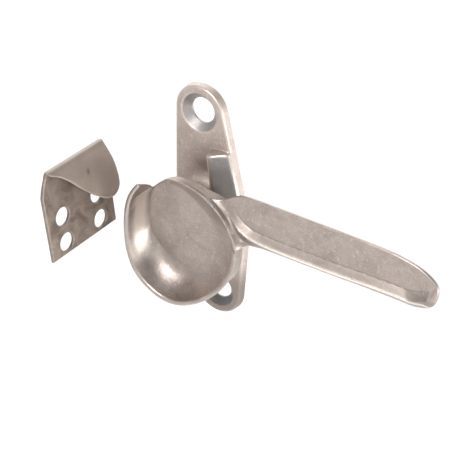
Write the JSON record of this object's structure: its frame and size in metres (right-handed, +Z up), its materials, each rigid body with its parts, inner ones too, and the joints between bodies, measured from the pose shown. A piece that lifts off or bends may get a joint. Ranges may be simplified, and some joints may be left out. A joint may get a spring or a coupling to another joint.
{
  "type": "cam window latch",
  "caption": "Crescent window latch: a cast lever with a hollow cam turns on a screw-down base plate and hooks a bent sheet keeper on the other sash.",
  "frame": {"origin": "midway between the two screw holes of the base plate, on its mounting face", "axes": "+Y into the window stile, square to the base plate's back; +X towards the handle; +Z up along the base plate"},
  "size_m": [0.0932, 0.0362, 0.0654],
  "materials": {
    "cast_base": "satin cast, tumbled",
    "cast_lever": "satin cast, tumbled",
    "turned_steel": "turned",
    "spring_steel": "blued",
    "washer_plastic": "moulded",
    "sheet_steel": "rolled sheet, dull plated"
  },
  "bodies": {
    "base": {"base_plate": "cast_base", "thrust_washer": "washer_plastic", "spring_washer": "spring_steel"},
    "lever": {"cam_lever": "cast_lever", "pivot_stud": "turned_steel", "backing_washer": "turned_steel"},
    "keeper": {"keeper": "sheet_steel"}
  },
  "joints": [
    {"name": "lever_turn", "type": "hinge", "parent": "base", "child": "lever", "pos_m": [0, -0.0082, -0.00425], "axis": [0, -1, 0], "range_deg": [0, 90]},
    {"name": "sash_slide", "type": "slide", "parent": "base", "child": "keeper", "axis": [-1, 0, 0], "range_m": [-0.003, 0.04]}
  ]
}
